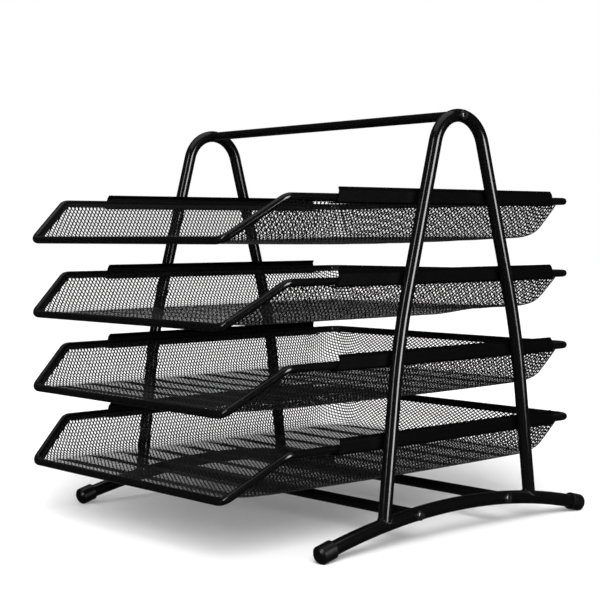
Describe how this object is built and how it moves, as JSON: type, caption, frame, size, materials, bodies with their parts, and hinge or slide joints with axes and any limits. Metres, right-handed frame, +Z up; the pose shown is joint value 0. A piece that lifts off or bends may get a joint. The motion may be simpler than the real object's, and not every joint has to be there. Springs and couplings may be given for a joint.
{
  "type": "desktop file sorter",
  "caption": "Tiered letter tray sorter: sliding wire-rimmed mesh trays on channel runners in a bent tube stand with a top carry handle.",
  "frame": {"origin": "on the desk, at the middle of the footprint", "axes": "+Z up, -Y towards the open front of the trays, +X to the right-hand side frame"},
  "size_m": [0.3022, 0.3393, 0.308],
  "materials": {
    "tube_coat": "black powder coat, half gloss",
    "runner_coat": "black powder coat, half gloss",
    "wire_coat": "black powder coat, half gloss",
    "mesh_coat": "black powder coat, satin",
    "screw_coat": "black, half gloss",
    "foot_plastic": "black moulded plastic, matte"
  },
  "bodies": {
    "stand": {"left_side_frame": "tube_coat", "left_base_rail": "tube_coat", "right_side_frame": "tube_coat", "right_base_rail": "tube_coat", "front_left_foot_cap": "foot_plastic", "front_right_foot_cap": "foot_plastic", "rear_left_foot_cap": "foot_plastic", "rear_right_foot_cap": "foot_plastic", "handle_rod": "tube_coat", "front_cross_rod": "tube_coat", "rear_cross_rod": "tube_coat", "handle_screws": "screw_coat", "cross_rod_screws": "screw_coat", "tier_1_left_runner": "runner_coat", "tier_1_right_runner": "runner_coat", "tier_2_left_runner": "runner_coat", "tier_2_right_runner": "runner_coat", "tier_3_left_runner": "runner_coat", "tier_3_right_runner": "runner_coat", "tier_4_left_runner": "runner_coat", "tier_4_right_runner": "runner_coat"},
    "tray_1": {"tray_1_rim": "wire_coat", "tray_1_basket": "mesh_coat"},
    "tray_2": {"tray_2_rim": "wire_coat", "tray_2_basket": "mesh_coat"},
    "tray_3": {"tray_3_rim": "wire_coat", "tray_3_basket": "mesh_coat"},
    "tray_4": {"tray_4_rim": "wire_coat", "tray_4_basket": "mesh_coat"}
  },
  "joints": [
    {"name": "tray_1_slide", "type": "slide", "parent": "stand", "child": "tray_1", "axis": [0, -1, 0], "range_m": [0, 0.16]},
    {"name": "tray_2_slide", "type": "slide", "parent": "stand", "child": "tray_2", "axis": [0, -1, 0], "range_m": [0, 0.16]},
    {"name": "tray_3_slide", "type": "slide", "parent": "stand", "child": "tray_3", "axis": [0, -1, 0], "range_m": [0, 0.16]},
    {"name": "tray_4_slide", "type": "slide", "parent": "stand", "child": "tray_4", "axis": [0, -1, 0], "range_m": [0, 0.16]}
  ]
}
